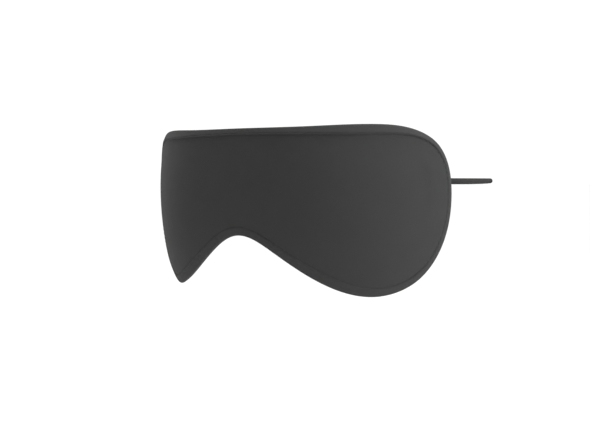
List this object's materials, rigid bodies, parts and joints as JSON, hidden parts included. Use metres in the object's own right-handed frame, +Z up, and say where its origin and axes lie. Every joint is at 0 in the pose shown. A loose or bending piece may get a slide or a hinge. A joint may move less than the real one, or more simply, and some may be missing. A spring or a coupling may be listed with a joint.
{
  "type": "sleep mask",
  "caption": "Padded contoured sleep mask for both eyes, bound at the rim with a nose notch, held by a thin round elastic strap round the back of the head.",
  "frame": {"origin": "in the middle of the wearer's head: on the upright axis that the mask curves round, at the height of the mask's widest line", "axes": "+X across the face towards the wearer's left, +Y from the mask towards the back of the head, +Z up"},
  "size_m": [0.1944, 0.2053, 0.0834],
  "materials": {
    "cover_fabric": "matte fine-knit charcoal fabric",
    "blackout_fabric": "dense black interlining",
    "foam": "open-cell dark grey foam",
    "lining_fabric": "soft brushed charcoal lining",
    "binding_fabric": "matte charcoal fabric tape, folded over the rim",
    "thread": "twisted charcoal polyester thread",
    "elastic_cord": "braided charcoal sheath of elastic cord",
    "rubber_core": "natural rubber strands"
  },
  "bodies": {
    "mask": {"front_cover": "cover_fabric", "blackout_layer": "blackout_fabric", "foam_pad": "foam", "back_lining": "lining_fabric", "edge_binding": "binding_fabric", "needle_thread": "thread", "bobbin_thread": "thread", "strap_tail_left": "elastic_cord", "strap_tail_right": "elastic_cord", "bar_tack_left": "thread", "bar_tack_right": "thread"},
    "strap": {"strap_core": "rubber_core", "strap_sheath": "elastic_cord"}
  },
  "joints": [
    {"name": "strap_swing", "type": "hinge", "parent": "mask", "child": "strap", "pos_m": [0, -0.0768, 0.0037], "axis": [1, 0, 0], "range_deg": [-30, 40]}
  ]
}
